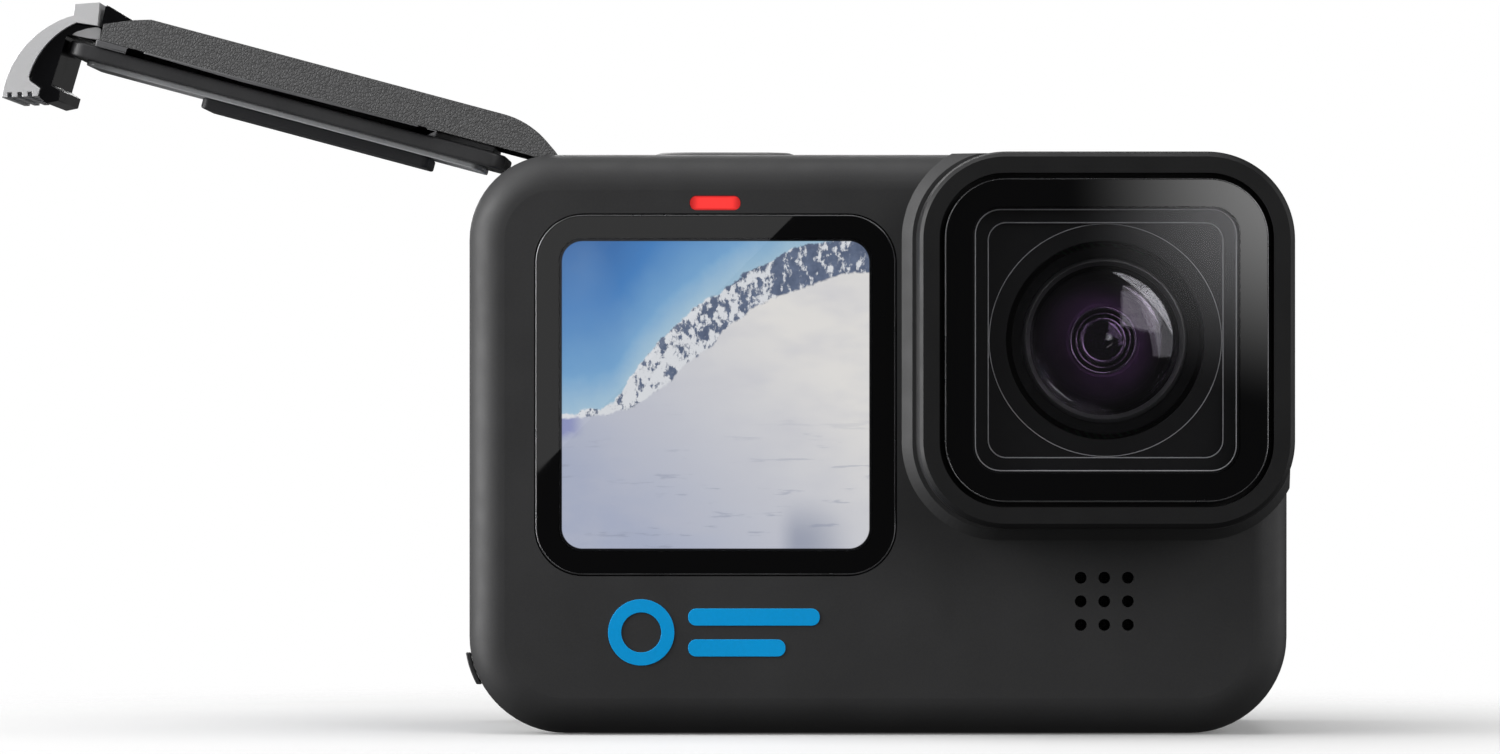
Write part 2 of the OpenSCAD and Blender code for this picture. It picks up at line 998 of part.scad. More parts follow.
module latch_cover() {
    on_open_door()
        color("#bfc1c4")
            difference() {
                union() {
                    // curved lever that follows the casing's bottom corner
                    intersection() {
                        difference() {
                            rod_y(lever_out_r, door_y0, door_y1, -27, 8.9);
                            rod_y(lever_in_r, -20, 20, lever_in_x, lever_in_z);
                        }
                        from_front(-20, 20)
                            polygon([
                                [-27, 8.9], [-40, 4.3], [-40, -5], [-25.87, -5],
                                [-25.87, 0.3], [-26.8, 3.3], [-27.5, 3.3], [-28, 2.3]
                            ]);
                    }
                    // foot at the tip
                    from_front(door_y0, door_y1)
                        polygon([
                            [-28.4, 0.5], [-25.87, 0.28], [-26.8, 3.3], [-27.55, 3.3],
                            [-27.95, 2.25], [-28.4, 2]
                        ]);
                    // raised block for the thumb
                    from_front(door_y0, door_y1)
                        polygon([
                            [-34.2, 4.5], [-35.5, 4.33], [-36.2, 6.4], [-34.15, 6.8],
                            [-33.95, 5]
                        ]);
                }
                // grip grooves across the end face
                for (i = [0:2])
                    translate([-26.05 - 0.26 * i, 0, 0.95 + 0.85 * i])
                        rotate([0, -17, 0])
                            block([-0.45, -20, -0.2], [1, 20, 0.2]);
            }
}

module latch_claw() {
    on_open_door()
        color("#0f1012")
            difference() {
                union() {
                    intersection() {
                        from_front(door_y0 + 0.5, door_y1 - 0.5)
                            polygon([
                                [-33.85, 4.9], [-33.85, 2], [-28, 2.25], [-27.6, 3.35],
                                [-26.8, 3.35], [-26.4, 4.1], [-26.9, 5.1], [-27.8, 5.1],
                                [-28.1, 4.2], [-32.7, 4.3], [-32.8, 6.6], [-34, 6.7]
                            ]);
                        rod_y(lever_in_r - 0.02, -20, 20, lever_in_x, lever_in_z);
                    }
                    // stem that slides inside the door
                    block([-34.1, -3.4, 6], [-33.15, 2.6, 13.5]);
                }
                // eye for the spring
                block([-35, -1.4, 8], [-30, 0.6, 12]);
            }
}

module latch_spring() {
    on_open_door()
        color("#b8babd")
            translate([-33.8, door_mid_y, 13.7])
                linear_extrude(5.6, twist = 360 * 6, slices = 72, $fn = 5)
                    translate([0.48, 0])
                        circle(0.12);
}

// ---------- battery and card ----------

module battery_pack() {
    color("#2f3134")
        difference() {
            from_side(battery_x0, battery_x1)
                translate([door_mid_y, (battery_z0 + battery_z1) / 2])
                    round_rect(battery_t, battery_h, 1.2);
            // keying slot in the end
            block([battery_x1 - 0.3, -4.4, 20], [battery_x1 + 1, 3.6, 21.2]);
        }
}

module battery_tab() {
    color("#1f6fb0")
        block([battery_x0 - 0.2, door_mid_y - 3, 12.6], [battery_x0, door_mid_y + 3, 38.4]);
}

module memory_card() {
    color("#18191b")
        translate([0, 0, card_z0])
            linear_extrude(card_t)
                translate([card_x0 + card_l / 2, door_mid_y])
                    difference() {
                        square([card_l, card_w], center = true);
                        translate([card_l / 2 - 5.5, card_w / 2 - 1.3])
                            square([6, 2]);
                    }
}

// ---------- lens cover ----------

module cover_frame() {
    color("#1f1f20")
        difference() {
            union() {
                // outer frame, rounded a little at the front edge
                hull() {
                    lens_block(cover_w, 7.6, -cover_front + 0.7, -13.7, $fn = 128);
                    lens_block(cover_w - 0.3, 7.45, -cover_front + 0.3, -13.7, $fn = 128);
                    lens_block(cover_w - 0.9, 7.15, -cover_front, -13.7, $fn = 128);
                }
                lens_turned()
                    translate([boss_in_r, 11.45])
                        square([boss_out_r - boss_in_r, 2.5]);
                // bayonet lugs
                intersection() {
                    lens_turned()
                        translate([boss_out_r - 0.3, 11.45])
                            square([lug_r - boss_out_r + 0.3, 0.55]);
                    for (i = [0:2])
                        translate([lens_x, 0, lens_z])
                            rotate([0, 120 * i, 0])
                                block([5, -14, -2], [14, -10, 2]);
                }
            }
            // seat for the glass, window and baffle space
            lens_block(seat_w, 5.65, -30, -cover_front + glass_back);
            lens_block(window_w, 2.6, -30, -18);
            lens_turned()
                square([boss_in_r, 20]);
        }
}

module cover_glass() {
    color([0.03, 0.03, 0.035, 0.5])
        lens_block(glass_w, 5.2, -cover_front + 0.25, -cover_front + glass_back);
}

module cover_baffle() {
    color("#232324")
        difference() {
            lens_block(window_w - 0.2, 2.5, -cover_front + glass_back, -18.1);
            lens_block(22.6, 2.2, -30, -18.9);
            lens_block(20.35, 1.6, -30, -18.5);
            rod_y(bore_r, -30, 0, lens_x, lens_z);
            // fine ring scribed round the lens
            lens_turned()
                translate([10, 18.4])
                    square([0.08, 1]);
        }
}

// ---------- the assembly ----------

front_shell();
rear_shell();
shell_gasket();
side_frame();
battery_tray();
latch_keeper();
latch_guard();
hinge_pin();
front_glass();
front_display();
front_display_gasket();
front_status_light();
rear_glass();
rear_display();
rear_status_light();
lens_collar();
lens_seal();
lens_barrel();
lens_ring();
front_lens_element();
inner_lens_elements();
sensor_holder();
image_sensor();
sensor_board();
main_board();
board_chips();
heat_spreader();
board_screws();
display_flex();
gps_antenna();
usb_port();
card_socket();
battery_contacts();
speaker();
speaker_mesh();
microphones();
shutter_switch();
shutter_seal();
mode_switch();
finger_bracket();
finger_pins();
badge();
door_shell();
door_carrier();
door_seal();
door_inner_plate();
door_pad();
latch_cover();
latch_claw();
latch_spring();
battery_pack();
battery_tab();
memory_card();
shutter_button();
mode_button();
finger_left();
finger_right();
cover_frame();
cover_glass();
cover_baffle();
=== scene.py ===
"""Looks of the action camera around its CAD frame: materials, edges, trim, light and camera.

Everything is in metres in the frame's own axes: +X right, +Z up, and the lens faces -Y.
"""
import json
from math import cos, pi, radians, sin

import bmesh
import bpy
from mathutils import Matrix, Vector

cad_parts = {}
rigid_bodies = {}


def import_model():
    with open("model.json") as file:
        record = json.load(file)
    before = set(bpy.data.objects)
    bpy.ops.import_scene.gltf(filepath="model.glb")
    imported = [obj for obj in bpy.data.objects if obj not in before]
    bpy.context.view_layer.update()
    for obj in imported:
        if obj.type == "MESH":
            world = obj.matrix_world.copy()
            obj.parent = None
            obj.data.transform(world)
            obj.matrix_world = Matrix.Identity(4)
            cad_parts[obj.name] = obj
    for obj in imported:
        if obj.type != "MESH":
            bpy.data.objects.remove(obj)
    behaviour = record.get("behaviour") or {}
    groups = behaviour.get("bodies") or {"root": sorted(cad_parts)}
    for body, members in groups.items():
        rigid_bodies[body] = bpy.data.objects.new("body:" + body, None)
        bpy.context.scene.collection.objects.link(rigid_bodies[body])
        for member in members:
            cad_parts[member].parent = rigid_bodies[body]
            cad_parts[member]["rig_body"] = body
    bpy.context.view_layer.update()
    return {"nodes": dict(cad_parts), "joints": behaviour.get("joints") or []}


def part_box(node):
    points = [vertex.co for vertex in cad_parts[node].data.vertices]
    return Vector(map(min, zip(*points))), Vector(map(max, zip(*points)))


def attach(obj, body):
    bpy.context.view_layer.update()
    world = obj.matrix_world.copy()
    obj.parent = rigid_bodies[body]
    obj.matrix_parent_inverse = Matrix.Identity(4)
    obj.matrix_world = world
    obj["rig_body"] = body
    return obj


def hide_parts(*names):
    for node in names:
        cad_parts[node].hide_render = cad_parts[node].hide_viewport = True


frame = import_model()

MM = 0.001
nodes = frame["nodes"]
joints = {joint["name"]: joint for joint in frame["joints"]}


def middle(node):
    """Centre of a CAD node's box."""
    low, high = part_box(node)
    return (low + high) / 2


lens = middle("lens_barrel")
screen = middle("front_glass")


# ---------- material building ----------

SOCKETS = {"ior": "IOR", "specular": "Specular IOR Level", "coat": "Coat Weight",
           "sheen": "Sheen Weight"}


class Surface:
    """A node material with one Principled shader. Its constant sockets are set directly."""

    def __init__(self, name, colour, roughness, **constants):
        self.material = bpy.data.materials.new(name)
        self.material.use_nodes = True
        self.tree = self.material.node_tree
        self.shader = self.tree.nodes["Principled BSDF"]
        self.output = self.tree.nodes["Material Output"]
        self.shader.inputs["Base Color"].default_value = (*colour, 1)
        self.shader.inputs["Roughness"].default_value = roughness
        for key, value in constants.items():
            socket = SOCKETS.get(key, key.replace("_", " ").title())
            self.shader.inputs[socket].default_value = value
        self.place = self.add("ShaderNodeTexCoord").outputs["Object"]

    def add(self, kind, inputs=None, **settings):
        """A new node. inputs gives its sockets, by name or number, a value or another node's output."""
        node = self.tree.nodes.new(kind)
        for key, value in settings.items():
            setattr(node, key, value)
        for key, value in (inputs or {}).items():
            if isinstance(value, bpy.types.NodeSocket):
                self.tree.links.new(value, node.inputs[key])
            else:
                node.inputs[key].default_value = value
        return node

    def feed(self, socket, value):
        self.tree.links.new(value, self.shader.inputs[socket])

    def maths(self, operation, *values):
        node = self.add("ShaderNodeMath", dict(enumerate(values)), operation=operation)
        return node.outputs[0]

    def noise(self, size, detail=2.0, rough=0.5, stretch=(1, 1, 1)):
        """Smooth random values from 0 to 1, in spots of about that size."""
        scaled = self.add("ShaderNodeVectorMath", {0: self.place, 1: stretch},
                          operation="MULTIPLY")
        node = self.add("ShaderNodeTexNoise",
                        {"Vector": scaled.outputs[0], "Scale": 1 / size, "Detail": detail,
                         "Roughness": rough})
        return node.outputs["Fac"]

    def level(self, value, low, high, to_low=0.0, to_high=1.0, smooth=False):
        """Maps low..high to to_low..to_high and clamps."""
        kind = "SMOOTHSTEP" if smooth else "LINEAR"
        node = self.add("ShaderNodeMapRange",
                        {0: value, 1: low, 2: high, 3: to_low, 4: to_high},
                        interpolation_type=kind)
        return node.outputs[0]

    def mix(self, share, first, second):
        """A colour between first and second. Each is a colour or another node's output."""
        node = self.add("ShaderNodeMix", data_type="RGBA")
        for key, value in ((0, share), (6, first), (7, second)):
            if isinstance(value, bpy.types.NodeSocket):
                self.tree.links.new(value, node.inputs[key])
            else:
                node.inputs[key].default_value = value if key == 0 else (*value, 1)
        return node.outputs[2]

    def bump(self, height, depth):
        """Relief from a height of 0 to 1, depth metres deep."""
        node = self.add("ShaderNodeBump", {"Height": height, "Distance": depth, "Strength": 1.0})
        self.feed("Normal", node.outputs[0])

    def glint(self, ior):
        """Share of the light that glass reflects, the same from inside as from outside."""
        straight = ((ior - 1) / (ior + 1)) ** 2
        facing = self.add("ShaderNodeLayerWeight", {"Blend": 0.5}).outputs["Facing"]
        steep = self.maths("POWER", facing, 5.0)
        return self.maths("ADD", self.maths("MULTIPLY", steep, 1 - straight), straight)

    def axes(self):
        """The place's X, Y and Z."""
        return self.add("ShaderNodeSeparateXYZ", {0: self.place}).outputs

    def inside_square(self, centre, side, corner, edge=0.01 * MM):
        """1 inside a rounded square seen from the front, and 0 outside it."""
        x, _, z = self.axes()
        reach = side / 2 - corner
        over = []
        for value, mid in ((x, centre.x), (z, centre.z)):
            away = self.maths("ABSOLUTE", self.maths("SUBTRACT", value, mid))
            past = self.maths("MAXIMUM", self.maths("SUBTRACT", away, reach), 0.0)
            over.append(self.maths("MULTIPLY", past, past))
        distance = self.maths("SQRT", self.maths("ADD", *over))
        return self.level(distance, corner - edge, corner + edge, 1, 0)


def grained(name, colour, roughness, grain=0.12 * MM, depth=0.004 * MM, tone=0.12, **constants):
    """Moulded plastic: a fine grain, faint colour clouds and an uneven gloss."""
    surface = Surface(name, colour, roughness, **constants)
    clouds = surface.noise(7 * MM, 3)
    specks = surface.noise(grain * 1.4, 2)
    shade = surface.maths("ADD", surface.maths("MULTIPLY", clouds, 0.6),
                          surface.maths("MULTIPLY", specks, 0.4))
    dark = [c * (1 - tone) for c in colour]
    light = [c * (1 + tone) for c in colour]
    surface.feed("Base Color", surface.mix(surface.level(shade, 0.35, 0.65), dark, light))
    gloss = surface.noise(2.5 * MM, 4)
    surface.feed("Roughness", surface.level(gloss, 0.3, 0.7, roughness - 0.05, roughness + 0.05))
    surface.bump(surface.noise(grain, 2, 0.6), depth)
    return surface.material


def brushed(name, colour, roughness, direction, depth=0.002 * MM, **constants):
    """Metal with fine brush lines along one axis."""
    surface = Surface(name, colour, roughness, **constants)
    stretch = [0.04 if axis == direction else 1 for axis in "xyz"]
    lines = surface.noise(0.09 * MM, 3, 0.6, stretch=stretch)
    surface.feed("Base Color", surface.mix(lines, [c * 0.86 for c in colour], colour))
    surface.feed("Roughness", surface.level(lines, 0.3, 0.7, roughness - 0.06, roughness + 0.08))
    surface.bump(lines, depth)
    return surface.material


def leather_grain():
    """The door's moulded leather grain: small wrinkled lumps with creases between them, and painted
    shade in the creases.
    """
    surface = Surface("door_leather_grain", (0.05, 0.05, 0.052), 0.5, specular=0.5)
    warp = surface.noise(0.35 * MM, 3)
    offset = surface.add("ShaderNodeVectorMath", {0: (0.35 * MM,) * 3, "Scale": warp},
                         operation="SCALE")
    bent = surface.add("ShaderNodeVectorMath", {0: surface.place, 1: offset.outputs[0]},
                       operation="ADD")
    lumps = surface.add("ShaderNodeTexVoronoi",
                        {"Vector": bent.outputs[0], "Scale": 1 / (0.3 * MM)},
                        feature="DISTANCE_TO_EDGE")
    raised = surface.level(lumps.outputs["Distance"], 0.0, 0.22, smooth=True)
    fine = surface.noise(0.12 * MM, 3, 0.65)
    height = surface.maths("ADD", raised, surface.maths("MULTIPLY", fine, 0.45))
    # painted shade: darker in the creases and low spots of the grain, lighter on the raised lumps
    tone = surface.level(height, 0.2, 1.3)
    surface.feed("Base Color", surface.mix(tone, (0.075, 0.075, 0.076), (0.135, 0.135, 0.137)))
    surface.feed("Roughness", surface.level(raised, 0, 1, 0.64, 0.5))
    surface.bump(height, 0.033 * MM)
    return surface.material


def clear_glass(name, centre, window, corner, tint, reflect=(0.42, 0.42, 0.43), border=True):
    """Polished glass with a see-through window inside a black printed border."""
    surface = Surface(name, (0.0015, 0.0015, 0.0018), 0.04, ior=1.5)
    # faint wipe marks in the gloss
    marks = surface.noise(4 * MM, 4)
    surface.feed("Roughness", surface.level(marks, 0.35, 0.75, 0.0, 0.02))
    see = surface.add("ShaderNodeBsdfTransparent", {"Color": (*tint, 1)})
    shine = surface.add("ShaderNodeBsdfGlossy", {"Color": (*reflect, 1), "Roughness": 0.0})
    pane = surface.add("ShaderNodeMixShader",
                       {0: surface.glint(1.5), 1: see.outputs[0], 2: shine.outputs[0]})
    result = pane
    if border:
        open_area = surface.inside_square(centre, window, corner)
        result = surface.add("ShaderNodeMixShader",
                             {0: open_area, 1: surface.shader.outputs[0], 2: pane.outputs[0]})
    surface.tree.links.new(result.outputs[0], surface.output.inputs["Surface"])
    return surface.material


def coated_lens(name, tint, reflect, strength):
    """Lens glass with an anti-reflection coating that gives its reflections a colour."""
    surface = Surface(name, (0.02, 0.012, 0.028), 0.03, ior=1.6)
    smear = surface.noise(3 * MM, 3)
    see = surface.add("ShaderNodeBsdfTransparent", {"Color": (*tint, 1)})
    colour = surface.mix(smear, reflect, [c * 0.85 for c in reflect])
    shine = surface.add("ShaderNodeBsdfGlossy", {"Color": colour, "Roughness": 0.03})
    gloss = surface.maths("MINIMUM", surface.maths("MULTIPLY", surface.glint(1.6), strength), 0.9)
    pane = surface.add("ShaderNodeMixShader", {0: gloss, 1: see.outputs[0], 2: shine.outputs[0]})
    surface.tree.links.new(pane.outputs[0], surface.output.inputs["Surface"])
    return surface.material


def lens_interior():
    """Dead black outside, and towards the lens axis a purple painted in for the reflections of the
    coatings.
    """
    surface = Surface("lens_interior", (0.003, 0.003, 0.003), 0.65, specular=0.06)
    x, _, z = surface.axes()
    squares = [surface.maths("MULTIPLY", d, d)
               for d in (surface.maths("SUBTRACT", x, lens.x),
                         surface.maths("SUBTRACT", z, lens.z))]
    radius = surface.maths("SQRT", surface.maths("ADD", *squares))
    # painted reflection: purple near the lens axis, fading to black outwards
    near = surface.level(radius, 6.4 * MM, 3.2 * MM, smooth=True)
    cloud = surface.level(surface.noise(2 * MM, 3), 0.3, 0.7, 0.8, 1)
    surface.feed("Base Color", surface.mix(surface.maths("MULTIPLY", near, cloud),
                                           (0.0018, 0.0018, 0.002), (0.1, 0.05, 0.118)))
    surface.bump(surface.noise(0.08 * MM, 2), 0.002 * MM)
    return surface.material


def curve_of(surface, value, points):
    """A smooth function of a value from 0 to 1, through points."""
    node = surface.add("ShaderNodeFloatCurve", {"Value": value})
    curve = node.mapping.curves[0]
    curve.points[0].location = points[0]
    curve.points[1].location = points[-1]
    for point in points[1:-1]:
        curve.points.new(*point)
    node.mapping.update()
    return node.outputs[0]


# outlines on the screen, as shares of its width and height
RIDGE = [(0, 0.44), (0.06, 0.45), (0.16, 0.47), (0.22, 0.545), (0.28, 0.63), (0.41, 0.76),
         (0.51, 0.84), (0.6, 0.895), (0.74, 0.965), (0.86, 1), (1, 1)]
SLOPE = [(0, 0.42), (0.16, 0.435), (0.27, 0.48), (0.4, 0.59), (0.5, 0.68), (0.63, 0.79),
         (0.75, 0.84), (0.87, 0.88), (1, 0.905)]
LIT_SIDE = 26.9 * MM
LIT_CORNER = 1.8 * MM


def sky_colour(surface, above_ridge):
    """Blue that pales towards the ridge, with thin haze."""
    low_sky = surface.mix(surface.level(above_ridge, 0, 0.12), (0.37, 0.55, 0.68),
                          (0.17, 0.38, 0.63))
    sky = surface.mix(surface.level(above_ridge, 0.1, 0.34), low_sky, (0.042, 0.2, 0.5))
    sky = surface.mix(surface.level(above_ridge, 0.34, 0.56), sky, (0.026, 0.135, 0.38))
    haze = surface.level(surface.noise(9 * MM, 5), 0.45, 0.8, 0, 0.12)
    return surface.mix(haze, sky, (0.5, 0.66, 0.78))


def rock_colour(surface, across):
    """Stone that shows through snow, more of it to the right."""
    crag = surface.noise(1.3 * MM, 9, 0.7, stretch=(1.4, 1, 0.9))
    bare = surface.maths("ADD", crag, surface.level(across, 0.15, 0.8, -0.065, 0.045))
    stone = surface.mix(surface.noise(0.7 * MM, 6, 0.7), (0.03, 0.045, 0.09), (0.2, 0.25, 0.36))
    return surface.mix(surface.level(bare, 0.47, 0.52), (0.74, 0.76, 0.78), stone)


def snow_colour(surface, across, up, jag):
    """Drifted snow, lighter to the upper right, with a hollow, blue shade and worn tracks."""
    light = surface.level(surface.maths("ADD", across, up), 0.3, 1.45)
    drift = surface.noise(6 * MM, 5, 0.55, stretch=(1, 1, 2.4))
    snow = surface.mix(light, (0.42, 0.46, 0.58), (0.8, 0.785, 0.75))
    snow = surface.mix(surface.level(drift, 0.42, 0.75, 0, 0.45), snow, (0.55, 0.56, 0.62))
    # a hollow in shade at the lower right
    hollow = surface.maths("MULTIPLY", surface.level(up, 0.19, 0.02, smooth=True),
                           surface.level(across, 0.69, 0.77, smooth=True))
    hollow = surface.maths("MULTIPLY", hollow, surface.level(across, 0.98, 0.78, smooth=True))
    snow = surface.mix(surface.maths("MULTIPLY", hollow, 0.75), snow, (0.28, 0.31, 0.4))
    # blue shade on the far left
    ragged = surface.maths("ADD", up, surface.maths("MULTIPLY", jag, 0.02))
    shade = surface.maths("MULTIPLY", surface.level(across, 0.08, 0.02, smooth=True),
                          surface.level(ragged, 0.35, 0.38))
    snow = surface.mix(surface.maths("MULTIPLY", shade, 0.75), snow, (0.2, 0.23, 0.5))
    tracks = surface.noise(1.1 * MM, 4, 0.6, stretch=(0.25, 1, 2))
    worn = surface.maths("MULTIPLY", surface.level(tracks, 0.6, 0.66, 0, 0.5),
                         surface.level(up, 0.5, 0.2))
    return surface.mix(worn, snow, (0.3, 0.33, 0.42))


def mountain_picture():
    """The lit screen: a made-up snowy ridge under a blue sky."""
    surface = Surface("screen_picture", (0.004, 0.004, 0.005), 0.3)
    x, _, z = surface.axes()
    across = surface.level(x, screen.x - LIT_SIDE / 2, screen.x + LIT_SIDE / 2)
    up = surface.level(z, screen.z - LIT_SIDE / 2, screen.z + LIT_SIDE / 2)
    jag = surface.level(surface.noise(2.2 * MM, 8, 0.62), 0.3, 0.7, -1, 1)
    ridge = surface.maths("ADD", curve_of(surface, across, RIDGE),
                          surface.maths("MULTIPLY", jag, 0.016))
    slope = surface.maths("ADD", curve_of(surface, across, SLOPE),
                          surface.maths("MULTIPLY", jag, -0.014))
    above_ridge = surface.maths("SUBTRACT", up, ridge)
    above_slope = surface.maths("SUBTRACT", up, slope)
    ground = surface.mix(surface.level(above_slope, -0.004, 0.004),
                         snow_colour(surface, across, up, jag), rock_colour(surface, across))
    view = surface.mix(surface.level(above_ridge, -0.003, 0.003), ground,
                       sky_colour(surface, above_ridge))
    lit = surface.inside_square(screen, LIT_SIDE, LIT_CORNER, 0.03 * MM)
    surface.feed("Emission Color", surface.mix(lit, (0, 0, 0), view))
    surface.shader.inputs["Emission Strength"].default_value = 1.0
    return surface.material


def status_glow(name, node):
    """A red light guide, brightest in the middle of its bar."""
    surface = Surface(name, (0.25, 0.01, 0.01), 0.35)
    low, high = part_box(node)
    x, _, z = surface.axes()
    across = surface.maths("ABSOLUTE", surface.maths("SUBTRACT", x, (low.x + high.x) / 2))
    up = surface.maths("ABSOLUTE", surface.maths("SUBTRACT", z, (low.z + high.z) / 2))
    half = (high - low) / 2
    rim = surface.maths("MAXIMUM", surface.maths("DIVIDE", across, half.x * 1.05),
                        surface.maths("DIVIDE", up, half.z * 1.1))
    cloud = surface.noise(1 * MM, 2)
    edge = surface.level(surface.maths("ADD", rim, surface.maths("MULTIPLY", cloud, 0.1)),
                         0.6, 1.0, smooth=True)
    surface.feed("Emission Color", surface.mix(edge, (0.94, 0.042, 0.038), (0.42, 0.012, 0.012)))
    surface.shader.inputs["Emission Strength"].default_value = 0.95
    return surface.material


def woven(name, colour, thread=0.35 * MM):
    """Plain woven tape."""
    surface = Surface(name, colour, 0.85, sheen=0.3)
    _, y, z = surface.axes()
    warp = surface.maths("SINE", surface.maths("MULTIPLY", y, 2 * pi / thread))
    weft = surface.maths("SINE", surface.maths("MULTIPLY", z, 2 * pi / thread))
    weave = surface.level(surface.maths("MULTIPLY", warp, weft), -1, 1)
    surface.feed("Base Color", surface.mix(weave, [c * 0.6 for c in colour], colour))
    surface.bump(weave, 0.05 * MM)
    return surface.material


def circuit_board():
    """Green solder mask over copper tracks."""
    surface = Surface("board_mask", (0.02, 0.12, 0.05), 0.35, coat=0.3)
    x, _, z = surface.axes()
    pitch = 0.9 * MM
    wander = surface.maths("MULTIPLY", surface.noise(9 * MM, 1), 6 * MM)
    phase = surface.maths("MULTIPLY", surface.maths("ADD", surface.maths("ADD", x, z), wander),
                          2 * pi / pitch)
    track = surface.level(surface.maths("SINE", phase), 0.3, 0.5)
    surface.feed("Base Color", surface.mix(track, (0.012, 0.08, 0.035), (0.03, 0.19, 0.075)))
    surface.bump(track, 0.03 * MM)
    return surface.material


def pale_film():
    """Pale satin plate with a soft pearly cloud."""
    surface = Surface("pale_plate", (0.62, 0.63, 0.65), 0.22, specular=0.7)
    cloud = surface.noise(5 * MM, 3)
    surface.feed("Base Color", surface.mix(cloud, (0.5, 0.51, 0.53), (0.78, 0.79, 0.8)))
    surface.feed("Roughness", surface.level(cloud, 0.3, 0.7, 0.18, 0.3))
    surface.bump(surface.noise(0.4 * MM, 2), 0.004 * MM)
    return surface.material


def metal_mesh():
    """Fine woven mesh behind the grille."""
    surface = Surface("speaker_weave", (0.02, 0.02, 0.021), 0.5, metallic=0.6)
    x, _, z = surface.axes()
    pitch = 0.16 * MM
    waves = [surface.maths("SINE", surface.maths("MULTIPLY", v, 2 * pi / pitch)) for v in (x, z)]
    wires = surface.level(surface.maths("MAXIMUM", *waves), 0.1, 0.8)
    surface.feed("Base Color", surface.mix(wires, (0.002, 0.002, 0.002), (0.04, 0.04, 0.042)))
    surface.bump(wires, 0.03 * MM)
    return surface.material


# ---------- materials of the camera ----------

casing = grained("casing_charcoal", (0.036, 0.036, 0.037), 0.56, 0.13 * MM, 0.006 * MM, 0.1,
                 specular=0.38)
trim = grained("trim_charcoal", (0.03, 0.03, 0.031), 0.5, 0.11 * MM)
rubber = grained("seal_rubber", (0.045, 0.045, 0.047), 0.42, 0.2 * MM, specular=0.6)
moulded = grained("moulded_black", (0.03, 0.03, 0.033), 0.5)
steel = brushed("steel_pin", (0.62, 0.63, 0.65), 0.28, "y", metallic=1.0)
plated = brushed("plated_steel", (0.55, 0.56, 0.58), 0.32, "x", metallic=1.0)
gold = brushed("gold_contact", (0.8, 0.58, 0.25), 0.25, "x", metallic=1.0)
aluminium = brushed("aluminium_sheet", (0.66, 0.67, 0.68), 0.38, "x", metallic=1.0)
flex = brushed("flex_film", (0.45, 0.22, 0.06), 0.3, "y", coat=0.4)
chip = grained("chip_epoxy", (0.02, 0.02, 0.022), 0.45, 0.1 * MM)
ceramic = grained("ceramic_block", (0.75, 0.72, 0.64), 0.5, 0.3 * MM)
lens_black = grained("lens_black", (0.003, 0.003, 0.0032), 0.6, 0.08 * MM, 0.002 * MM,
                     specular=0.08)
lens_inside = lens_interior()
lens_grey = grained("lens_ring_grey", (0.022, 0.022, 0.023), 0.4, 0.08 * MM, 0.002 * MM)
lens_rim = brushed("lens_rim_polished", (0.42, 0.36, 0.46), 0.2, "y", metallic=1.0)
chamfer = grained("polished_chamfer", (0.3, 0.3, 0.31), 0.3, depth=0.0002 * MM, metallic=1.0)
bezel = grained("bezel_black", (0.0105, 0.0105, 0.011), 0.5, 0.12 * MM, 0.005 * MM,
                specular=0.3)
baffle = grained("baffle_black", (0.017, 0.017, 0.0175), 0.5, 0.1 * MM, 0.001 * MM,
                 specular=0.2)
# pale grey for the baffle's beads: painted highlights on its step edges and scribed ring
bead = grained("baffle_painted_highlight", (0.6, 0.6, 0.61), 0.3, 0.1 * MM)
blue = grained("badge_print", (0.001, 0.42, 0.95), 0.45, 0.2 * MM, 0.003 * MM, 0.04,
               specular=0.25)
strip = grained("door_strip", (0.14, 0.14, 0.145), 0.34, 0.12 * MM, specular=0.6)
latch_silver = brushed("latch_silver", (0.76, 0.76, 0.77), 0.36, "y", 0.001 * MM, metallic=0.5)
claw_gloss = grained("claw_gloss", (0.004, 0.004, 0.005), 0.14, 0.3 * MM, 0.002 * MM,
                     specular=0.6)
battery_wrap = grained("battery_wrap", (0.03, 0.031, 0.034), 0.36, 0.25 * MM)
card_black = grained("card_black", (0.015, 0.015, 0.017), 0.3, 0.2 * MM)
leather = leather_grain()
front_pane = clear_glass("front_glass_pane", screen, 27.4 * MM, 2 * MM, (0.97, 0.97, 0.98))
cover_pane = clear_glass("cover_glass_pane", lens, 23 * MM, 2.4 * MM, (0.9, 0.9, 0.91))
rear_pane = clear_glass("rear_glass_pane", middle("rear_glass"), 30 * MM, 2 * MM,
                        (0.5, 0.5, 0.52), (1, 1, 1), border=False)
coating = coated_lens("front_coating", (0.95, 0.9, 0.97), (0.97, 0.95, 1), 1.2)
inner_coating = coated_lens("inner_coating", (0.5, 0.34, 0.6), (0.85, 0.72, 0.95), 1.6)
picture = mountain_picture()
dark_display = grained("dark_display", (0.008, 0.012, 0.018), 0.5, 0.3 * MM, 0.0002 * MM)
sensor_face = brushed("sensor_face", (0.1, 0.16, 0.14), 0.2, "x", coat=0.6)

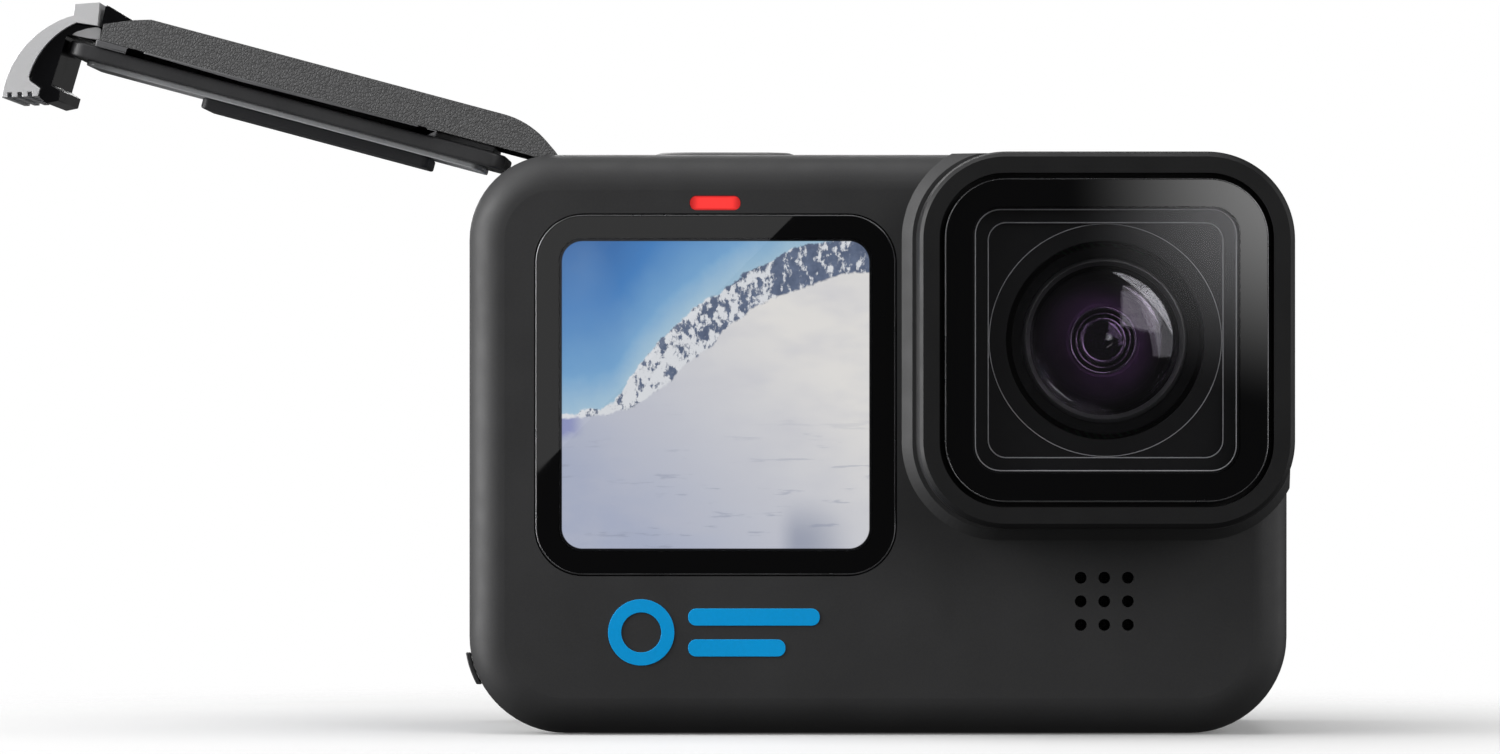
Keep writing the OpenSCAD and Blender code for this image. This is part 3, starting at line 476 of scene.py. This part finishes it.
MATERIALS = {
    casing: ["front_shell", "rear_shell"],
    trim: ["shutter_button", "mode_button", "finger_left", "finger_right", "finger_bracket"],
    rubber: ["door_seal", "shell_gasket", "shutter_seal", "lens_seal", "front_display_gasket",
             "latch_guard"],
    moulded: ["side_frame", "battery_tray", "sensor_holder", "speaker", "door_pad"],
    steel: ["hinge_pin", "finger_pins", "latch_spring", "board_screws"],
    plated: ["latch_keeper", "usb_port", "card_socket", "shutter_switch", "mode_switch"],
    gold: ["battery_contacts", "microphones"],
    aluminium: ["heat_spreader"],
    flex: ["display_flex"],
    chip: ["board_chips"],
    ceramic: ["gps_antenna"],
    lens_black: ["lens_collar"],
    lens_inside: ["lens_barrel"],
    lens_grey: ["lens_ring"],
    bezel: ["cover_frame"],
    baffle: ["cover_baffle"],
    blue: ["badge"],
    strip: ["door_carrier"],
    latch_silver: ["latch_cover"],
    claw_gloss: ["latch_claw"],
    battery_wrap: ["battery_pack"],
    card_black: ["memory_card"],
    leather: ["door_shell"],
    front_pane: ["front_glass"],
    cover_pane: ["cover_glass"],
    rear_pane: ["rear_glass"],
    coating: ["front_lens_element"],
    inner_coating: ["inner_lens_elements"],
    picture: ["front_display"],
    dark_display: ["rear_display"],
    sensor_face: ["image_sensor"],
    circuit_board(): ["main_board", "sensor_board"],
    pale_film(): ["door_inner_plate"],
    metal_mesh(): ["speaker_mesh"],
    woven("pull_tape", (0.02, 0.12, 0.35)): ["battery_tab"],
    status_glow("front_light", "front_status_light"): ["front_status_light"],
    status_glow("rear_light", "rear_status_light"): ["rear_status_light"],
}

for material, names in MATERIALS.items():
    for name in names:
        nodes[name].data.materials.clear()
        nodes[name].data.materials.append(material)


# ---------- finished edges ----------

def shade_smooth(mesh, angle=32):
    """Smooth shading, with creases only where faces meet at more than that angle."""
    mesh.polygons.foreach_set("use_smooth", [True] * len(mesh.polygons))
    mesh.set_sharp_from_angle(angle=radians(angle))


# the side that each pane's inner face is on, along Y
INNER_FACES = {"front_glass": 1, "cover_glass": 1, "rear_glass": -1}
AIR_FILM = 0.03 * MM
# faces that meet at more than this angle, in degrees, get a rounded edge
ROUNDED_ANGLE = 34


def leave_air(mesh, name):
    """Draws the inner face of a pane's copy back by a film of air from what the pane lies on."""
    side = INNER_FACES[name]
    centre = middle(name)
    for corner in mesh.vertices:
        if (corner.co.y - centre.y) * side > 0:
            corner.co.y -= side * AIR_FILM


def finish_edges(name, radius, segments=3):
    """A copy of a CAD node with its sharp edges rounded. It stands for the node."""
    source = nodes[name]
    mesh = source.data.copy()
    if name in INNER_FACES:
        leave_air(mesh, name)
    rough = bmesh.new()
    rough.from_mesh(mesh)
    bmesh.ops.remove_doubles(rough, verts=rough.verts, dist=0.002 * MM)
    bmesh.ops.dissolve_limit(rough, angle_limit=radians(0.5), verts=rough.verts,
                             edges=rough.edges)
    rough.to_mesh(mesh)
    rough.free()
    if "custom_normal" in mesh.attributes:
        mesh.attributes.remove(mesh.attributes["custom_normal"])
    piece = bpy.data.objects.new(name + "_finished", mesh)
    bpy.context.scene.collection.objects.link(piece)
    bevel = piece.modifiers.new("edges", "BEVEL")
    bevel.width = radius
    bevel.segments = segments
    bevel.limit_method = "ANGLE"
    bevel.angle_limit = radians(ROUNDED_ANGLE)
    shade_smooth(mesh)
    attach(piece, source["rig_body"])
    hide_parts(name)
    return piece


# radius of each copy's edges, in millimetres
EDGES = {
    "front_glass": 0.14, "cover_glass": 0.14, "rear_glass": 0.2, "mode_button": 0.25,
    "door_carrier": 0.12, "door_seal": 0.4, "door_inner_plate": 0.12, "door_pad": 0.2,
    "latch_cover": 0.12, "latch_claw": 0.15, "finger_left": 0.3, "finger_right": 0.3,
    "finger_bracket": 0.15, "battery_pack": 0.3, "battery_tab": 0.06, "memory_card": 0.12,
    "latch_guard": 0.1, "usb_port": 0.05, "cover_baffle": 0.06, "badge": 0.03,
}
for name, radius in EDGES.items():
    finish_edges(name, radius * MM)
for name, node in nodes.items():
    shade_smooth(node.data)


# ---------- fine trim ----------

def new_piece(name, mesh, material, body):
    mesh.materials.append(material)
    shade_smooth(mesh)
    piece = bpy.data.objects.new(name, mesh)
    bpy.context.scene.collection.objects.link(piece)
    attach(piece, body)
    return piece


def rounded_square(side, corner, steps=10):
    """Points (x, z) round a square with rounded corners."""
    reach = side / 2 - corner
    points = []
    for quarter in range(4):
        turn = quarter * pi / 2
        centre = Vector((reach, reach))
        centre.rotate(Matrix.Rotation(turn, 2))
        for step in range(steps + 1):
            angle = turn + step * pi / 2 / steps
            points.append(centre + Vector((cos(angle), sin(angle))) * corner)
    return points


BEAD_SIDES = 12


def bead_round(name, outline, centre, y, thickness, material, body):
    """A thin round bead laid along a closed outline that faces forwards."""
    mesh = bpy.data.meshes.new(name)
    shape = bmesh.new()
    rings = []
    count = len(outline)
    for i, point in enumerate(outline):
        ahead = (outline[(i + 1) % count] - outline[i - 1]).normalized()
        outwards = Vector((ahead.y, -ahead.x))
        ring = []
        for k in range(BEAD_SIDES):
            angle = 2 * pi * k / BEAD_SIDES
            flat = point + outwards * (thickness * cos(angle))
            ring.append(shape.verts.new((centre.x + flat.x, y - thickness * sin(angle),
                                         centre.z + flat.y)))
        rings.append(ring)
    for i, ring in enumerate(rings):
        other = rings[(i + 1) % count]
        for k in range(BEAD_SIDES):
            after = (k + 1) % BEAD_SIDES
            shape.faces.new((ring[k], other[k], other[after], ring[after]))
    bmesh.ops.recalc_face_normals(shape, faces=shape.faces)
    shape.to_mesh(mesh)
    shape.free()
    return new_piece(name, mesh, material, body)


def circle(radius, steps=96):
    return [Vector((cos(2 * pi * k / steps), sin(2 * pi * k / steps))) * radius
            for k in range(steps)]


def lens_trim():
    """Thin pale beads that paint the highlights along the stepped baffle's edges and its scribed ring,
    and the polished rims of the inner lenses.
    """
    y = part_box("cover_baffle")[0].y
    for name, outline, back, thick in (
            ("outer_step_bead", rounded_square(22.55 * MM, 2.18 * MM), 0.02, 0.06),
            ("inner_step_bead", rounded_square(20.3 * MM, 1.58 * MM), 0.41, 0.05),
            ("scribed_ring_bead", circle(10.05 * MM), 0.8, 0.035)):
        bead_round(name, outline, lens, y + back * MM, thick * MM, bead, "lens_cover")
    for name, radius, back, thick in (("inner_rim_outer", 2.85, 15.15, 0.1),
                                      ("inner_rim_middle", 2.35, 15.1, 0.07),
                                      ("inner_rim_inner", 1.85, 15.2, 0.16)):
        bead_round(name, circle(radius * MM), lens, -back * MM, thick * MM, lens_rim, "root")


CHAMFER_THICK = 0.085 * MM


def glass_chamfers():
    """Polished chamfers round the front edges of both front glasses."""
    for name, node, corner, body in (("cover_glass_chamfer", "cover_glass", 5.2, "lens_cover"),
                                     ("front_glass_chamfer", "front_glass", 4.18, "root")):
        low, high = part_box(node)
        outline = rounded_square(high.x - low.x - 2 * CHAMFER_THICK, corner * MM - CHAMFER_THICK, 16)
        bead_round(name, outline, middle(node), low.y + CHAMFER_THICK, CHAMFER_THICK, chamfer,
                   body)


def plate(shape, outline, front, back, rounding):
    """A side view's outline, in millimetres, made solid from front to back, its edges rounded."""
    ends = [[shape.verts.new((x * MM, y, z * MM)) for x, z in outline] for y in (front, back)]
    shape.faces.new(ends[0])
    shape.faces.new(reversed(ends[1]))
    for i in range(len(outline)):
        j = (i + 1) % len(outline)
        shape.faces.new((ends[0][i], ends[1][i], ends[1][j], ends[0][j]))
    bmesh.ops.recalc_face_normals(shape, faces=shape.faces)
    bmesh.ops.bevel(shape, geom=shape.edges[:], offset=rounding, segments=2, affect="EDGES")


def latch_ramp():
    """Glossy ramp on the door's outside that leads the thumb onto the latch."""
    hinge = joints["door_hinge"]
    pivot = Vector(hinge["pos_m"])
    opened = Matrix.Rotation(-radians(hinge["range_deg"][0]), 4, "Y")
    place = Matrix.Translation(pivot) @ opened @ Matrix.Translation(-pivot)
    # side view with the door closed: x and z in millimetres
    outline = [(-35.45, 9.5), (-36.15, 7.1), (-36.15, 6.85), (-34.45, 6.95), (-34.45, 7.3)]
    low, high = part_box("door_shell")
    mesh = bpy.data.meshes.new("latch_ramp")
    shape = bmesh.new()
    plate(shape, outline, low.y + 1.2 * MM, high.y - 0.2 * MM, 0.1 * MM)
    shape.transform(place)
    shape.to_mesh(mesh)
    shape.free()
    new_piece("latch_ramp", mesh, claw_gloss, "door")


def latch_link():
    """Silver lever end that shows in the latch's mouth, on the claw's front side."""
    # side view with the door open: x and z in millimetres
    outline = [(-70.92, 61.42), (-70.56, 61.65), (-69.58, 61.96), (-68.68, 62.08),
               (-68.36, 61.92), (-68.45, 60.98), (-69.39, 61.06), (-70.47, 61.29)]
    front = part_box("latch_claw")[0].y
    mesh = bpy.data.meshes.new("latch_link")
    shape = bmesh.new()
    plate(shape, outline, front - 0.12 * MM, front + 0.4 * MM, 0.05 * MM)
    shape.to_mesh(mesh)
    shape.free()
    new_piece("latch_link", mesh, latch_silver, "latch")


glass_chamfers()
lens_trim()
latch_ramp()
latch_link()


# ---------- studio: floor, light and camera ----------

FLOOR_RADIUS = 0.9
# just under the camera's base, so that the two don't share a plane
FLOOR_DROP = 0.05 * MM
FADE_CENTRE = (-0.012, 0, 0)
FADE_STRETCH = (0.7, 1, 1)
FADE_START = 0.02
FADE_END = 0.085


def build_floor():
    """A pale floor that fades out before its far edge."""
    mesh = bpy.data.meshes.new("floor")
    shape = bmesh.new()
    bmesh.ops.create_circle(shape, cap_ends=True, radius=FLOOR_RADIUS, segments=96)
    shape.to_mesh(mesh)
    shape.free()
    floor = bpy.data.objects.new("floor", mesh)
    bpy.context.scene.collection.objects.link(floor)
    surface = Surface("floor_white", (0.86, 0.86, 0.86), 0.6, specular=0.2)
    shifted = surface.add("ShaderNodeVectorMath", {0: surface.place, 1: FADE_CENTRE},
                          operation="SUBTRACT")
    oval = surface.add("ShaderNodeVectorMath", {0: shifted.outputs[0], 1: FADE_STRETCH},
                       operation="MULTIPLY")
    away = surface.add("ShaderNodeVectorMath", {0: oval.outputs[0]}, operation="LENGTH")
    fade = surface.level(away.outputs["Value"], FADE_START, FADE_END, smooth=True)
    gone = surface.add("ShaderNodeBsdfTransparent")
    mixed = surface.add("ShaderNodeMixShader",
                        {0: fade, 1: surface.shader.outputs[0], 2: gone.outputs[0]})
    surface.tree.links.new(mixed.outputs[0], surface.output.inputs["Surface"])
    surface.shader.inputs["Emission Color"].default_value = (1, 1, 1, 1)
    surface.shader.inputs["Emission Strength"].default_value = 0.07
    mesh.materials.append(surface.material)
    floor.location.z = -FLOOR_DROP
    floor.visible_glossy = False
    floor.visible_diffuse = False


def area_light(name, place, target, width, height, power, along=(1, 0, 0), only=()):
    """A rectangular softbox at place, aimed at target. Its width lies along a given direction.

    A light for only a few nodes leaves the rest of the object alone.
    """
    light = bpy.data.lights.new(name, "AREA")
    light.shape = "RECTANGLE"
    light.size = width
    light.size_y = height
    light.energy = power
    lamp = bpy.data.objects.new(name, light)
    bpy.context.scene.collection.objects.link(lamp)
    back = (Vector(place) - Vector(target)).normalized()
    side = Vector(along) - back * back.dot(Vector(along))
    side.normalize()
    turn = Matrix((side, back.cross(side), back)).transposed()
    lamp.matrix_world = Matrix.Translation(place) @ turn.to_4x4()
    lamp.visible_camera = False
    if only:
        lit = bpy.data.collections.new(name + "_receivers")
        for piece in bpy.data.objects:
            if piece.name.removesuffix("_finished") in only:
                lit.objects.link(piece)
        lamp.light_linking.receiver_collection = lit


WORLD_LIGHT = 0.06


def build_world():
    """White to the eye, dim as a light, so that the softboxes do the lighting."""
    world = bpy.data.worlds.new("studio")
    bpy.context.scene.world = world
    world.use_nodes = True
    tree = world.node_tree
    white = tree.nodes["Background"]
    white.inputs["Color"].default_value = (1, 1, 1, 1)
    dim = tree.nodes.new("ShaderNodeBackground")
    dim.inputs["Color"].default_value = (1, 1, 1, 1)
    dim.inputs["Strength"].default_value = WORLD_LIGHT
    path = tree.nodes.new("ShaderNodeLightPath")
    mixed = tree.nodes.new("ShaderNodeMixShader")
    tree.links.new(path.outputs["Is Camera Ray"], mixed.inputs[0])
    tree.links.new(dim.outputs[0], mixed.inputs[1])
    tree.links.new(white.outputs[0], mixed.inputs[2])
    tree.links.new(mixed.outputs[0], tree.nodes["World Output"].inputs["Surface"])


def glow_card(name, place, radius, brightness):
    """A round card with a soft edge, which the lens cover's glass reflects."""
    mesh = bpy.data.meshes.new(name)
    shape = bmesh.new()
    bmesh.ops.create_circle(shape, cap_ends=True, radius=radius, segments=48)
    shape.to_mesh(mesh)
    shape.free()
    card = bpy.data.objects.new(name, mesh)
    bpy.context.scene.collection.objects.link(card)
    card.location = place
    card.rotation_euler = (radians(90), 0, 0)
    surface = Surface(name, (0, 0, 0), 1)
    away = surface.add("ShaderNodeVectorMath", {0: surface.place}, operation="LENGTH")
    near = surface.level(away.outputs["Value"], 0, radius, 1, 0, smooth=True)
    glow = surface.add("ShaderNodeEmission",
                       {"Color": (1, 1, 1, 1),
                        "Strength": surface.maths("MULTIPLY", near, brightness)})
    clear = surface.add("ShaderNodeBsdfTransparent")
    both = surface.add("ShaderNodeAddShader", {0: glow.outputs[0], 1: clear.outputs[0]})
    surface.tree.links.new(both.outputs[0], surface.output.inputs["Surface"])
    mesh.materials.append(surface.material)
    card.visible_camera = False
    card.visible_shadow = False


LENS_PARTS = ["front_lens_element", "inner_lens_elements", "lens_barrel", "lens_ring",
              "inner_rim_outer", "inner_rim_middle", "inner_rim_inner"]
LENS_LIGHT_DISTANCE = 0.5


def build_lights():
    """Softboxes for the whole object, then the lights and cards that only some parts show."""
    centre = Vector((0, 0, 0.028))
    area_light("left_softbox", (-0.62, -0.3, 0.34), centre, 0.5, 0.6, 2.7, along=(0, 1, 0))
    area_light("right_softbox", (0.58, -0.42, 0.2), centre, 0.4, 0.6, 1.3, along=(0, 1, 0))
    area_light("top_softbox", (-0.1, -0.06, 0.75), centre, 0.8, 0.5, 3.2)
    area_light("left_edge_strip", (-0.5, -0.05, 0.09), centre, 0.25, 0.5, 3.6, along=(0, 1, 0))
    area_light("front_fill", (0.5, -0.75, 0.4), centre, 0.5, 0.5, 1.3)
    area_light("right_edge_strip", (0.5, 0.1, 0.12), centre, 0.25, 0.5, 0.6, along=(0, 1, 0))
    whole = {piece.name.removesuffix("_finished") for piece in bpy.data.objects} - {"floor"}
    area_light("back_softbox", (-0.25, 0.8, 0.4), centre, 0.6, 0.5, 4, only=whole)
    # the domed lens shows this softbox as a crescent at its upper right
    place = lens + Vector((0.57, -0.63, 0.527)) * LENS_LIGHT_DISTANCE
    area_light("lens_key", place, lens, 0.9, 0.09, 1.6, (1, 0, -1), LENS_PARTS)
    # and this strip as a thin crescent at its lower left
    place = lens + Vector((-0.499, -0.6665, -0.554)) * LENS_LIGHT_DISTANCE
    area_light("lens_strip", place, lens, 0.36, 0.008, 0.045, (-0.743, 0, 0.669), LENS_PARTS)
    # card whose slanted edge crosses the reflection in the front glass
    place = Vector((-75.8, -1100, 82.3)) * MM
    area_light("slanted_card", place, place + Vector((0, 1, 0)), 0.22, 0.12, 0.068, (1, 0, 1),
               ["front_glass"])
    # the cover's glass shows this glow over its upper right corner
    glow_card("corner_glow", Vector((132, -1100, 84)) * MM, 62 * MM, 5)
    # fills for the latch's cover and the innermost lenses
    area_light("latch_card", (-0.26, -1.1, 0.17), (-0.075, 0, 0.055), 0.28, 0.28, 0.55,
               only=["latch_cover"])
    area_light("centre_spark", lens + Vector((0.04, -0.9, 0)), lens, 0.05, 0.05, 0.085,
               only=["inner_lens_elements"])


CAMERA_PLACE = (-11.25 * MM, -559.4 * MM, 31.28 * MM)
FOCAL_LENGTH = 150.2


def build_camera():
    """A long lens, level with the middle of the object."""
    camera = bpy.data.objects.new("camera", bpy.data.cameras.new("camera"))
    bpy.context.scene.collection.objects.link(camera)
    camera.data.sensor_width = 36
    camera.data.lens = FOCAL_LENGTH
    camera.data.clip_start = 0.01
    camera.location = CAMERA_PLACE
    camera.rotation_euler = (radians(90), 0, 0)
    bpy.context.scene.camera = camera
    bpy.context.scene.view_settings.view_transform = "Standard"


build_world()
build_floor()
build_lights()
build_camera()
